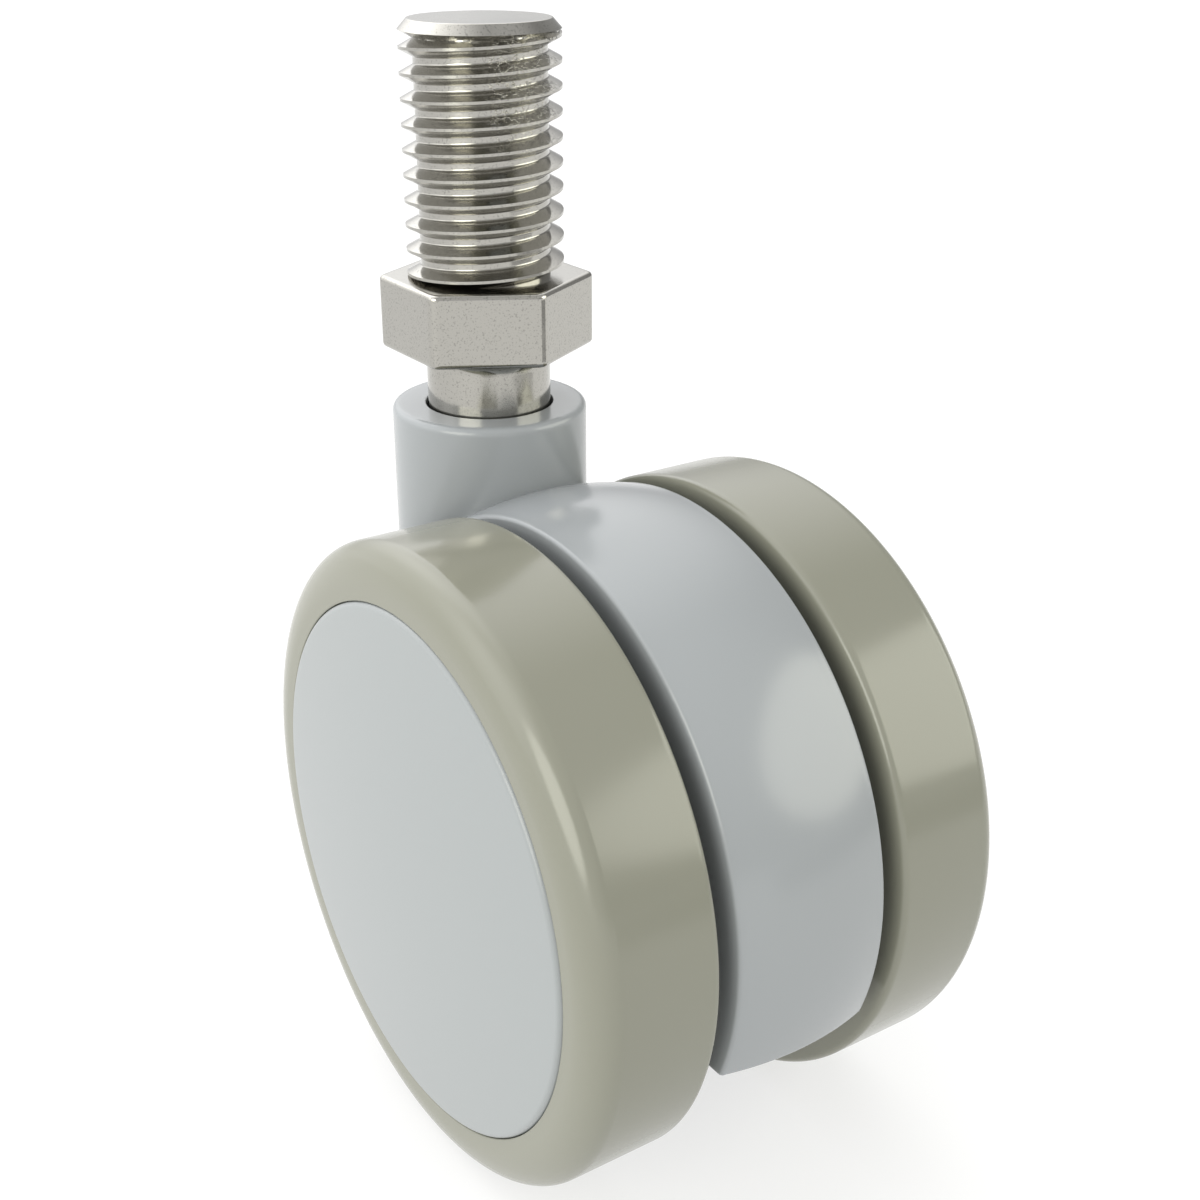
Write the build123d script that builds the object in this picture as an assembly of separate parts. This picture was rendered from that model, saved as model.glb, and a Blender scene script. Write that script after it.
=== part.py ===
from build123d import *
import math
import os

# Twin wheel castor with a threaded stem, in millimetres.
# Z is the swivel axis, and z = 0 is the hexagon's top face, which tightens against the furniture.
# The wheels trail towards +X and turn about an axle along Y, the left wheel at -Y and the right one at +Y.

# Stem: thread, hexagon and swivel spindle turned from one bar
stem_length = 15.35
thread_diameter = 9.86
stem_tip_diameter = 8.75
stem_tip_height = 0.62
hex_across_flats = 11.8
hex_height = 4.6
hex_edge_chamfer = 0.22
hex_cone_diameter = 10.0
hex_cone_height = 0.4
journal_diameter = 7.94
spindle_diameter = 6.0
journal_depth = 10.4

# Socket in the housing, with depths measured down from the boss's top face
hex_to_boss = 3.7
socket_depth = 18.2
socket_floor = 2.0
socket_mouth_gap = 0.15
socket_mouth_depth = 1.2
swivel_gap = 0.06
spindle_gap = 0.05
spindle_end_gap = 0.05
bush_step_gap = 0.3
thrust_disc_thickness = 1.0

# Snap ring that holds the spindle in the socket
snap_ring_depth = 7.9
snap_ring_thickness = 0.9
snap_ring_reach = 0.55
snap_ring_groove_depth = 0.62
snap_ring_seat_gap = 0.05
snap_ring_side_gap = 0.3
snap_ring_rim_gap = 0.22
snap_ring_opening = 50

# Housing: boss, hood, web, ribs and axle hub moulded in one piece
boss_diameter = 12.6
boss_edge_chamfer = 0.3
boss_foot_chamfer = 1.2
trail = 14.25
axle_drop = 31.45
hood_radius = 20.45
hood_width = 10.5
hood_wall = 3.1
hood_edge_chamfer = 0.25
hood_bands = 7
hood_end_drop = 38.7
web_thickness = 4.0
axle_hub_diameter = 12.4
rib_thickness = 1.6
rib_setback = 0.9
rib_angles = (80, 38, -4)
boss_rib_angle = 172

# Axle and what runs on it
axle_diameter = 6.0
axle_overhang = 0.5
wheel_bore_gap = 0.05
end_play = 0.1
washer_thickness = 0.5
washer_diameter = 9.0
clip_thickness = 0.7
clip_diameter = 8.4
clip_groove_depth = 0.6
clip_slack = 0.03
clip_opening = 70

# Wheels
wheel_diameter = 40.0
tyre_inner_face = 6.6
tyre_inner_edge = 0.35
tyre_face = 14.55
tyre_shoulder_width = 1.7
tyre_shoulder_height = 2.7
tyre_shoulder_steps = 3
tyre_thickness = 3.33
rim_setback = 0.3
rim_thickness = 1.5
wheel_web_thickness = 1.6
wheel_hub_diameter = 11.8
wheel_hub_length = 5.0
wheel_bush_wall = 0.9
wheel_rib_count = 4
wheel_rib_thickness = 1.4
wheel_rib_clearance = 0.5

# Wheel cap
cap_edge = 14.7
cap_seat = 13.1
cap_dome = 0.75
cap_edge_chamfer = 0.3
cap_gap = 0.12
cap_lug_count = 4
cap_lug_width = 5.0
cap_lug_thickness = 1.4
cap_lug_depth = 1.9
cap_lug_gap = 0.1

# Levels along Z
boss_top_z = -(hex_height + hex_to_boss)
socket_floor_z = boss_top_z - socket_depth
boss_foot_z = socket_floor_z - socket_floor
journal_end_z = boss_top_z - journal_depth
thrust_disc_top_z = socket_floor_z + thrust_disc_thickness
spindle_end_z = thrust_disc_top_z + spindle_end_gap
snap_ring_top_z = boss_top_z - snap_ring_depth

# Radii about the swivel axis
boss_radius = boss_diameter / 2
journal_radius = journal_diameter / 2
spindle_radius = spindle_diameter / 2
socket_radius = journal_radius + swivel_gap
snap_ring_outer_radius = socket_radius + snap_ring_reach
snap_ring_groove_radius = journal_radius - snap_ring_groove_depth

# Radii about the axle, and levels along it
wheel_radius = wheel_diameter / 2
axle_radius = axle_diameter / 2
axle_hub_radius = axle_hub_diameter / 2
hood_inner_radius = hood_radius - hood_wall
hood_half = hood_width / 2
wheel_hub_start = hood_half + washer_thickness + end_play
wheel_hub_end = wheel_hub_start + wheel_hub_length
outer_washer_start = wheel_hub_end + end_play
clip_start = outer_washer_start + washer_thickness + clip_slack
clip_end = clip_start + clip_thickness
axle_end = clip_end + clip_slack + axle_overhang
wheel_bore_radius = axle_radius + wheel_bore_gap
wheel_bush_radius = wheel_bore_radius + wheel_bush_wall
rim_radius = wheel_radius - tyre_thickness
rim_inner_radius = rim_radius - rim_thickness
rim_start = tyre_inner_face + rim_setback
cap_radius = rim_radius - cap_gap
cap_lug_foot = cap_seat - cap_lug_depth

swivel_axis = Axis.Z
axle_axis = Axis((trail, 0, -axle_drop), (0, 1, 0))
# A section about the axle is drawn with its radius along X and its place along the axle as Y.
axle_section = Plane(origin=(trail, 0, -axle_drop), x_dir=(1, 0, 0), z_dir=(0, 0, 1))
# A side view of the castor, seen with X to the right and Z up.
side_view = Plane(origin=(0, 0, 0), x_dir=(1, 0, 0), z_dir=(0, -1, 0))


def turned(points):
    """Solid turned about the swivel axis from a closed outline of (radius, height) points."""
    return revolve(Plane.XZ * make_face(Polyline(points, close=True)), swivel_axis)


def wheel_turned(points):
    """Solid turned about the axle from a closed outline of (radius, place along the axle) points."""
    return revolve(axle_section * make_face(Polyline(points, close=True)), axle_axis)


def sleeve(inner, outer, start, end):
    """Plain ring about the axle."""
    return wheel_turned([(inner, start), (outer, start), (outer, end), (inner, end)])


def spoke(angle, start, end, thickness, low, high):
    """Radial rib about the axle, from radius start to end, between two levels along the axle."""
    rib = Box(end - start, high - low, thickness)
    rib = Pos((start + end) / 2, (low + high) / 2, 0) * rib
    return Pos(trail, 0, -axle_drop) * Rot(0, -angle, 0) * rib


def make_stem():
    """Stem, hexagon, journal and spindle in one turned piece, its shank as thick as the thread's crests."""
    shank = turned([
        (0, 0),
        (thread_diameter / 2, 0),
        (thread_diameter / 2, stem_length - stem_tip_height),
        (stem_tip_diameter / 2, stem_length),
        (0, stem_length),
    ])
    hexagon = extrude(RegularPolygon(hex_across_flats / 2, 6, major_radius=False), -hex_height)
    hexagon = chamfer(hexagon.edges(), hex_edge_chamfer)

    groove_top = snap_ring_top_z + snap_ring_seat_gap
    groove_foot = snap_ring_top_z - snap_ring_thickness - snap_ring_seat_gap
    spindle = turned([
        (0, -hex_height),
        (hex_cone_diameter / 2, -hex_height),
        (journal_radius, -hex_height - hex_cone_height),
        (journal_radius, groove_top),
        (snap_ring_groove_radius, groove_top),
        (snap_ring_groove_radius, groove_foot),
        (journal_radius, groove_foot),
        (journal_radius, journal_end_z),
        (spindle_radius, journal_end_z),
        (spindle_radius, spindle_end_z),
        (0, spindle_end_z),
    ])
    return shank + hexagon + spindle


def make_snap_ring():
    """Split spring ring in the spindle's groove."""
    inner = snap_ring_groove_radius + snap_ring_seat_gap
    foot = snap_ring_top_z - snap_ring_thickness
    ring = turned([
        (inner, foot),
        (snap_ring_outer_radius, foot),
        (snap_ring_outer_radius, snap_ring_top_z),
        (inner, snap_ring_top_z),
    ])
    return ring - ring_opening(snap_ring_opening, snap_ring_outer_radius, foot, snap_ring_top_z)


def ring_opening(angle, radius, foot, top):
    """Wedge that splits a ring about the swivel axis, centred on +X."""
    half = math.radians(angle / 2)
    reach = radius * 1.5
    far_x = reach * math.cos(half)
    far_y = reach * math.sin(half)
    wedge = make_face(Polyline([(0, 0), (far_x, -far_y), (far_x, far_y)], close=True))
    return Pos(0, 0, foot) * extrude(wedge, top - foot)


def make_thrust_disc():
    """Hard steel disc at the bottom of the socket, which the spindle's end turns on."""
    return turned([
        (0, socket_floor_z),
        (socket_radius, socket_floor_z),
        (socket_radius, thrust_disc_top_z),
        (0, thrust_disc_top_z),
    ])


def make_pivot_bush():
    """Plain bearing sleeve that guides the lower spindle and stands on the thrust disc."""
    inner = spindle_radius + spindle_gap
    top = journal_end_z - bush_step_gap
    return turned([
        (inner, thrust_disc_top_z),
        (socket_radius, thrust_disc_top_z),
        (socket_radius, top),
        (inner, top),
    ])


def make_socket():
    """Space bored in the boss for the spindle, with the widened mouth and the snap ring's recess."""
    mouth_radius = journal_radius + socket_mouth_gap
    mouth_foot = boss_top_z - socket_mouth_depth
    above = boss_top_z + socket_mouth_gap
    recess_radius = snap_ring_outer_radius + snap_ring_rim_gap
    recess_top = snap_ring_top_z + snap_ring_side_gap
    recess_foot = snap_ring_top_z - snap_ring_thickness - snap_ring_side_gap
    return turned([
        (0, above),
        (mouth_radius, above),
        (mouth_radius, mouth_foot),
        (socket_radius, mouth_foot - (mouth_radius - socket_radius)),
        (socket_radius, recess_top),
        (recess_radius, recess_top),
        (recess_radius, recess_foot),
        (socket_radius, recess_foot),
        (socket_radius, socket_floor_z),
        (0, socket_floor_z),
    ])


def make_hood():
    """Guard between the wheels: a ball's slice in narrow bands, hollow inside, cut level at its front end."""
    side = [(hood_inner_radius, -hood_half)]
    edge_radius = math.sqrt(hood_radius ** 2 - hood_half ** 2)
    side.append((edge_radius - hood_edge_chamfer, -hood_half))
    profile = list(side)
    band_width = (hood_width - 2 * hood_edge_chamfer) / hood_bands
    for band in range(hood_bands + 1):
        place = band * band_width + hood_edge_chamfer - hood_half
        profile.append((math.sqrt(hood_radius ** 2 - place ** 2), place))
    profile += [(radius, -place) for radius, place in reversed(side)]
    hood = wheel_turned(profile)
    block = 2 * hood_radius
    hood -= Pos(-block / 2, 0, -axle_drop) * Box(block, 2 * hood_width, 2 * block)
    hood -= Pos(trail - block / 2, 0, -axle_drop - block / 2) * Box(block, 2 * hood_width, block)
    return hood - Pos(trail, 0, -hood_end_drop - block / 2) * Box(2 * block, 2 * hood_width, block)


def make_housing():
    """Boss, hood, web, ribs and axle hub as one moulding."""
    boss = turned([
        (0, boss_foot_z),
        (boss_radius - boss_foot_chamfer, boss_foot_z),
        (boss_radius, boss_foot_z + boss_foot_chamfer),
        (boss_radius, boss_top_z - boss_edge_chamfer),
        (boss_radius - boss_edge_chamfer, boss_top_z),
        (0, boss_top_z),
    ])

    web_reach = hood_inner_radius + hood_wall / 3
    web_back = -boss_radius + boss_foot_chamfer
    web_outline = [
        (trail + web_reach, -hood_end_drop),
        (trail, -hood_end_drop),
        (web_back, boss_foot_z),
        (web_back, -axle_drop + axle_hub_radius),
        (0, -axle_drop + web_reach),
        (trail + web_reach, -axle_drop + web_reach),
    ]
    web = extrude(side_view * make_face(Polyline(web_outline, close=True)), web_thickness / 2, both=True)
    web &= sleeve(0, web_reach, -hood_half, hood_half)

    rib_half = hood_half - rib_setback
    hub_inside = (axle_radius + axle_hub_radius) / 2
    body = boss + make_hood() + web + sleeve(0, axle_hub_radius, -hood_half, hood_half)
    for angle in rib_angles:
        body += spoke(angle, hub_inside, web_reach, rib_thickness, -rib_half, rib_half)
    body += spoke(boss_rib_angle, hub_inside, trail - boss_radius / 2, rib_thickness, -rib_half, rib_half)
    body -= make_socket()
    body -= sleeve(0, axle_radius, -hood_half, hood_half)
    return body


def make_axle():
    """Steel axle pressed through the housing, with a clip groove near each end."""
    groove_radius = axle_radius - clip_groove_depth
    half = [
        (axle_radius, clip_start - clip_slack),
        (groove_radius, clip_start - clip_slack),
        (groove_radius, clip_end + clip_slack),
        (axle_radius, clip_end + clip_slack),
        (axle_radius, axle_end),
        (0, axle_end),
    ]
    return wheel_turned([(r, -y) for r, y in reversed(half)] + half)


def make_clip():
    """Split retaining ring in the axle's groove."""
    inner = axle_radius - clip_groove_depth + clip_slack
    outer = clip_diameter / 2
    ring = sleeve(inner, outer, clip_start, clip_end)
    half = math.radians(clip_opening / 2)
    reach = outer * 1.5
    near = (trail, -axle_drop)
    left = (trail - reach * math.sin(half), -axle_drop - reach * math.cos(half))
    right = (trail + reach * math.sin(half), -axle_drop - reach * math.cos(half))
    wedge = side_view * make_face(Polyline([near, left, right], close=True))
    return ring - extrude(wedge, clip_end * 1.5, both=True)


def make_wheel_core():
    """Moulded wheel body: hub, web, rim, and ribs on the side that the cap covers."""
    hub_radius = wheel_hub_diameter / 2
    web_top = rim_start + wheel_web_thickness
    core = wheel_turned([
        (wheel_bush_radius, wheel_hub_start),
        (hub_radius, wheel_hub_start),
        (hub_radius, rim_start),
        (rim_radius, rim_start),
        (rim_radius, cap_seat),
        (rim_inner_radius, cap_seat),
        (rim_inner_radius, web_top),
        (hub_radius, web_top),
        (hub_radius, wheel_hub_end),
        (wheel_bush_radius, wheel_hub_end),
    ])
    hub_inside = (wheel_bush_radius + hub_radius) / 2
    rim_inside = rim_inner_radius + rim_thickness / 2
    rib_top = min(cap_lug_foot, wheel_hub_end) - wheel_rib_clearance
    for count in range(wheel_rib_count):
        angle = 360 * (count + 0.5) / wheel_rib_count
        core += spoke(angle, hub_inside, rim_inside, wheel_rib_thickness, rim_start, rib_top)
    return core


def make_tyre():
    """Soft tread moulded over the rim, its outer shoulder a quarter ellipse in short steps."""
    shoulder_start = tyre_face - tyre_shoulder_width
    shoulder_foot = wheel_radius - tyre_shoulder_height
    shoulder = []
    for step in range(tyre_shoulder_steps + 1):
        turn = math.radians(90 * step / tyre_shoulder_steps)
        radius = shoulder_foot + tyre_shoulder_height * math.cos(turn)
        shoulder.append((radius, shoulder_start + tyre_shoulder_width * math.sin(turn)))
    return wheel_turned([
        (rim_radius, tyre_inner_face),
        (wheel_radius - tyre_inner_edge, tyre_inner_face),
        (wheel_radius, tyre_inner_face + tyre_inner_edge),
        *shoulder,
        (rim_radius, tyre_face),
    ])


def make_cap():
    """Wheel cap with a slightly domed face and four snap lugs that grip the rim's inside."""
    dome_radius = (cap_radius ** 2 + cap_dome ** 2) / (2 * cap_dome)
    dome_top = cap_edge + cap_dome
    disc = sleeve(0, cap_radius, cap_seat, dome_top)
    disc = disc & Pos(trail, dome_top - dome_radius, -axle_drop) * Sphere(dome_radius)
    rim_edge = disc.edges().filter_by(GeomType.CIRCLE).sort_by(Axis.Y)[-1]
    disc = chamfer(rim_edge, cap_edge_chamfer)
    corner_radius = rim_inner_radius - cap_lug_gap
    lug_face = math.sqrt(corner_radius ** 2 - (cap_lug_width / 2) ** 2)
    for count in range(cap_lug_count):
        angle = 360 * count / cap_lug_count
        disc += spoke(angle, lug_face - cap_lug_thickness, lug_face, cap_lug_width, cap_lug_foot, cap_edge)
    return disc


def save(name, shape):
    """Writes one node's STEP file."""
    export_step(shape, f"parts/{name}.step")


os.makedirs("parts", exist_ok=True)
save("threaded_stem", make_stem())
save("stem_snap_ring", make_snap_ring())
save("thrust_disc", make_thrust_disc())
save("pivot_bush", make_pivot_bush())
save("housing", make_housing())
save("axle", make_axle())

wheel_pieces = {
    "inner_washer": sleeve(axle_radius, washer_diameter / 2, hood_half, hood_half + washer_thickness),
    "outer_washer": sleeve(
        axle_radius, washer_diameter / 2, outer_washer_start, outer_washer_start + washer_thickness
    ),
    "axle_clip": make_clip(),
    "wheel_bush": sleeve(wheel_bore_radius, wheel_bush_radius, wheel_hub_start, wheel_hub_end),
    "wheel_core": make_wheel_core(),
    "tyre": make_tyre(),
    "wheel_cap": make_cap(),
}
for piece, shape in wheel_pieces.items():
    save(f"right_{piece}", shape)
    save(f"left_{piece}", mirror(shape, Plane.XZ))
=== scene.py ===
import math

import bmesh
import bpy
import numpy as np
from mathutils import Matrix, Vector


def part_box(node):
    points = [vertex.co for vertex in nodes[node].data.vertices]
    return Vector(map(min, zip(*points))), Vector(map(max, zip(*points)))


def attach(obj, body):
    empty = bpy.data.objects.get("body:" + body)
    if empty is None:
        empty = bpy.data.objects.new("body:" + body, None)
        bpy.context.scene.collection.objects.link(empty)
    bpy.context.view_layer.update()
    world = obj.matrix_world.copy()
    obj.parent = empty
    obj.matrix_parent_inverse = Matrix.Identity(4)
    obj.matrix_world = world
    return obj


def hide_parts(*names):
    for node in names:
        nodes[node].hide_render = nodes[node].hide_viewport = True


# %% [markdown]
# This file dresses a twin wheel castor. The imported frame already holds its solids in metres, with the
# swivel axis along Z and the axle along Y. It could be rendered as it is, but its curves are made of short
# straight bands. So the pieces that are seen are worked out again here as smooth surfaces of the same size,
# and each takes its main sizes from the frame's own boxes.

# %% Load the frame and read the sizes that the surfaces need
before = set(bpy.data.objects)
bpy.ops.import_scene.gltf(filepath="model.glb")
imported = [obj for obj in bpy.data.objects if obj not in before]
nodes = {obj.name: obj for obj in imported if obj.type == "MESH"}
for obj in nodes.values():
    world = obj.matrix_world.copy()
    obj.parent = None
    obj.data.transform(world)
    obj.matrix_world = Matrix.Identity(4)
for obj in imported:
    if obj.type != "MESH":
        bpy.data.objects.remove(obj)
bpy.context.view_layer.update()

MM = 0.001
SIDES = {"left": -1, "right": 1}

stem_low, stem_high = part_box("threaded_stem")
housing_low, housing_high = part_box("housing")
tyre_low, tyre_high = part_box("right_tyre")
cap_low, cap_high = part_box("right_wheel_cap")
core_low, core_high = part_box("right_wheel_core")

axle_x = (tyre_low.x + tyre_high.x) / 2
axle_z = (tyre_low.z + tyre_high.z) / 2
wheel_radius = (tyre_high.x - tyre_low.x) / 2
print("axle at", round(axle_x / MM, 2), round(axle_z / MM, 2), "mm")
print("wheel radius", round(wheel_radius / MM, 2), "mm")


# %% [markdown]
# Every piece here is a grid of points: rows of rings, or a profile carried along a path. A library of ready
# primitives would give faceted cylinders and no rounded edges. A formula on a grid gives each curve its own
# shape, and a small radius on every corner, which is what catches the light on a real moulding.

# %% Outlines with rounded corners
CORNER_STEPS = 6
GUARD = 0.35


def rounded_outline(corners, closed=True):
    """Points of an outline whose corners (a, b, radius) are rounded.

    A corner of radius r between two straight runs that meet at an angle of 2h becomes an arc that starts
    r / tan(h) before the corner and ends as far after it. One more point, GUARD times the radius outside
    each end of the arc, keeps the shading of the straight runs flat. A corner of radius 0 stays sharp.
    """
    corners = np.array(corners, float)
    count = len(corners)
    points = []
    for i, (corner, radius) in enumerate(zip(corners[:, :2], corners[:, 2])):
        if radius == 0 or (not closed and i in (0, count - 1)):
            points.append(corner[None])
            continue
        before = corners[i - 1, :2] - corner
        after = corners[(i + 1) % count, :2] - corner
        before_length = np.hypot(*before)
        after_length = np.hypot(*after)
        before = before / before_length
        after = after / after_length
        half = math.acos(np.clip(before @ after, -1, 1)) / 2
        reach = radius / math.tan(half)
        middle = before + after
        middle /= np.hypot(*middle)
        centre = corner + middle * radius / math.sin(half)
        start = corner + before * reach
        end = corner + after * reach
        turn = np.linspace(0, 1, CORNER_STEPS + 1)[:, None]
        sweep = math.pi - 2 * half
        from_start = np.sin((1 - turn) * sweep) * (start - centre)
        from_end = np.sin(turn * sweep) * (end - centre)
        arc = (from_start + from_end) / math.sin(sweep)
        guard = radius * GUARD
        if before_length > reach + 2 * guard:
            points.append((start + before * guard)[None])
        points.append(centre + arc)
        if after_length > reach + 2 * guard:
            points.append((end + after * guard)[None])
    return np.concatenate(points)


print("a rounded corner takes", CORNER_STEPS + 1, "points")

# %% Surfaces of revolution
SEGMENTS = 256


def ring_grid(rows, closed_rows, closed_rings=True):
    """Vertices and four-cornered faces of a grid of rings: an array of shape (rows, columns, 3).

    The last column joins the first where closed_rings is true, and the last ring joins the first where
    closed_rows is true.
    """
    count, columns = rows.shape[:2]
    index = np.arange(count * columns).reshape(count, columns)
    if closed_rings:
        index = np.concatenate([index, index[:, :1]], axis=1)
    if closed_rows:
        index = np.concatenate([index, index[:1]])
    faces = np.stack([index[:-1, :-1], index[:-1, 1:], index[1:, 1:], index[1:, :-1]], axis=-1)
    return rows.reshape(-1, 3), faces.reshape(-1, 4)


def lathe_about_stem(outline, closed=True):
    """Turns an outline of (radius, height) points about the swivel axis.

    At turn a a point is at x = radius * cos a, y = radius * sin a, z = height.
    """
    turn = np.linspace(0, 2 * math.pi, SEGMENTS, endpoint=False)
    radius = outline[:, :1]
    height = np.repeat(outline[:, 1:], SEGMENTS, axis=1)
    rows = np.stack([radius * np.cos(turn), radius * np.sin(turn), height], axis=-1)
    return ring_grid(rows, closed)


def lathe_about_axle(outline, closed=True):
    """Turns an outline of (radius, place along Y) points about the axle.

    At turn a a point is at x = axle x + radius * cos a, z = axle z + radius * sin a.
    """
    turn = np.linspace(0, 2 * math.pi, SEGMENTS, endpoint=False)
    radius = outline[:, :1]
    place = np.repeat(outline[:, 1:], SEGMENTS, axis=1)
    rows = np.stack([axle_x + radius * np.cos(turn), place, axle_z + radius * np.sin(turn)], axis=-1)
    return ring_grid(rows, closed)


print("a turned piece has", SEGMENTS, "points to a ring")


# %% Plates with rounded rims
def inward_normals(outline):
    """Unit normals of a closed outline that point into it.

    A normal is square to the line between a point's two neighbours. The sum of a * next b - next a * b over
    the outline is positive where it runs anticlockwise, and then inwards is to the left.
    """
    following = np.roll(outline, -1, axis=0)
    along = following - np.roll(outline, 1, axis=0)
    along /= np.hypot(along[:, 0], along[:, 1])[:, None]
    leftwards = np.stack([-along[:, 1], along[:, 0]], axis=-1)
    area = np.sum(outline[:, 0] * following[:, 1] - following[:, 0] * outline[:, 1])
    return leftwards if area > 0 else -leftwards


def end_faces(count, width):
    """Point numbers of the first and the last ring of a grid, each to be closed by one flat face."""
    return [list(range(width)), list(range(count - width, count))]


def plate_across(outline, half_thickness, edge):
    """A flat plate across Y from a closed (x, z) outline, its two rims rounded by quarter circles.

    A point at turn t of the rounding lies edge * (1 - cos t) inside the outline and edge * (1 - sin t)
    short of the full thickness.
    """
    turn = np.linspace(0, math.pi / 2, CORNER_STEPS + 1)
    drawn_in = edge * (1 - np.cos(turn))
    inset = np.concatenate([drawn_in[::-1], drawn_in])
    reach = half_thickness - edge * (1 - np.sin(turn))
    place = np.concatenate([-reach[::-1], reach])
    flat = outline[None] + inset[:, None, None] * inward_normals(outline)[None]
    across = np.repeat(place[:, None], len(outline), axis=1)
    rows = np.stack([flat[..., 0], across, flat[..., 1]], axis=-1)
    vertices, faces = ring_grid(rows, False)
    return vertices, faces, end_faces(len(vertices), len(outline))


print("a plate's rim takes", CORNER_STEPS + 1, "rings on each side")

# %% Put surfaces into a mesh
MERGE_DISTANCE = 1e-6
SMOOTH_ANGLE = 32


def piece_from(name, surfaces, body, replaced):
    """One object from several closed surfaces, each (vertices, faces) or (vertices, faces, end faces)."""
    vertices = []
    faces = []
    start = 0
    for surface in surfaces:
        vertices.append(surface[0])
        faces += (surface[1] + start).tolist()
        if len(surface) > 2:
            faces += [[corner + start for corner in end] for end in surface[2]]
        start += len(surface[0])
    mesh = bpy.data.meshes.new(name)
    mesh.from_pydata(np.concatenate(vertices), [], faces)
    shape = bmesh.new()
    shape.from_mesh(mesh)
    bmesh.ops.remove_doubles(shape, verts=shape.verts, dist=MERGE_DISTANCE)
    bmesh.ops.recalc_face_normals(shape, faces=shape.faces)
    shape.to_mesh(mesh)
    shape.free()
    mesh.polygons.foreach_set("use_smooth", np.ones(len(mesh.polygons), bool))
    mesh.set_sharp_from_angle(angle=math.radians(SMOOTH_ANGLE))
    piece = bpy.data.objects.new(name, mesh)
    bpy.context.scene.collection.objects.link(piece)
    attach(piece, body)
    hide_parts(*replaced)
    print(name, "has", len(mesh.polygons), "faces")
    return piece


# %% [markdown]
# The stem is one steel piece: a screw thread with a bevelled tip, a hexagon for the spanner, a shallow cone
# under it, a polished collar, and the spindle that turns in the boss. The thread could be a Screw modifier on
# a small profile, but then its two ends would need hand work. Here the whole stem is one grid of rings from
# bottom to top. In the thread each ring climbs by one pitch as it goes round, and rings that would pass an
# end of the thread are laid flat on that end.

# %% Sizes of the thread
stem_top = stem_high.z
thread_crest = 4.93 * MM
thread_pitch = 1.5 * MM
thread_depth = 0.86 * MM
thread_root = thread_crest - thread_depth
crest_width = 0.17 * MM
flank_height = 0.46 * MM
root_fillet = 0.12 * MM
tip_height = 0.62 * MM
first_crest = 0.19 * MM
first_crest_turn = math.radians(-117.5)
print("thread", round(stem_top / thread_pitch, 1), "pitches long")
print("thread root radius", round(thread_root / MM, 2), "mm")

# %% One pitch of the thread
FLANK_SHARES = (0, 0.2, 0.4, 0.6, 0.8)


def one_pitch():
    """(Climb, radius) of one turn's profile, starting at the lower edge of a crest.

    A flank falls in a straight line from the crest to the root, and the root's two corners are rounded. More
    points along the flank over the crest keep its shading even.
    """
    half_crest = crest_width / 2
    flank_end = half_crest + flank_height
    flank = [(half_crest + flank_height * share, thread_crest - thread_depth * share, 0)
             for share in FLANK_SHARES]
    corners = [
        (-half_crest, thread_crest, 0),
        *flank,
        (flank_end, thread_root, root_fillet),
        (thread_pitch - flank_end, thread_root, root_fillet),
        (thread_pitch - half_crest, thread_crest, 0),
    ]
    return rounded_outline(corners, closed=False)[:-1]


print("one pitch has", len(one_pitch()), "points")

# %% The thread's rings
STEM_COLUMNS = 288
SPARE_TURNS = 2
turn_round = np.linspace(0, 2 * math.pi, STEM_COLUMNS + 1)
lead = first_crest + thread_pitch * (turn_round - first_crest_turn) / (2 * math.pi)
thread_foot = np.interp(-lead, *one_pitch().T, period=thread_pitch)


def thread_rings():
    """Rings whose height climbs one pitch in a turn: z = start + pitch * turn / full turn.

    Below the hexagon's top face each ring is held at the place where the thread meets that face. Just under
    the tip the thread is as thick as the tip's own lower flank, so the tip stays a whole disc.
    """
    profile = one_pitch()
    turns = np.arange(-SPARE_TURNS, int(stem_top / thread_pitch) + SPARE_TURNS + 1)
    starts = thread_pitch * turns
    climb = (profile[None, :, 0] + starts[:, None]).reshape(-1, 1)
    radius = np.tile(profile[:, 1], len(starts))[:, None]
    height = climb + lead
    tip_start = stem_top - tip_height
    disc_flank = thread_crest - (tip_start - height) * thread_depth / flank_height
    radius = np.maximum(radius, disc_flank)
    radius = np.where(height < tip_start, radius, thread_crest)
    radius = np.where(height > 0, radius, thread_foot)
    return np.clip(radius, thread_root, thread_crest), np.clip(height, 0, tip_start)


print("the thread takes", len(thread_rings()[0]), "rings of", STEM_COLUMNS, "columns")

# %% The hexagon's rings
hex_half_width = 5.9 * MM
hex_corner = 0.715 * MM
hex_edge = 0.3 * MM
hex_height = 4.6 * MM


def hexagon_radius(turn, inset):
    """Distance from the axis to a hexagon with rounded corners, drawn in by inset.

    Within a sixth of a turn, measured from the middle of a flat, the flat lies at half width / cos(turn).
    Near a corner the boundary is a small circle whose centre is on the corner's line.
    """
    sixth = math.pi / 3
    off_flat = np.abs((turn + sixth / 2) % sixth - sixth / 2)
    corner_centre = (hex_half_width - hex_corner) / math.cos(sixth / 2)
    off_corner = sixth / 2 - off_flat
    small = hex_corner - inset
    sideways = corner_centre * np.sin(off_corner)
    outward = np.sqrt(np.maximum(small ** 2 - sideways ** 2, 0))
    on_circle = corner_centre * np.cos(off_corner) + outward
    on_flat = (hex_half_width - inset) / np.cos(off_flat)
    flat_ends = corner_centre * math.sin(sixth / 2) / (hex_half_width - inset)
    return np.where(np.tan(off_flat) < flat_ends, on_flat, on_circle)


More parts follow.
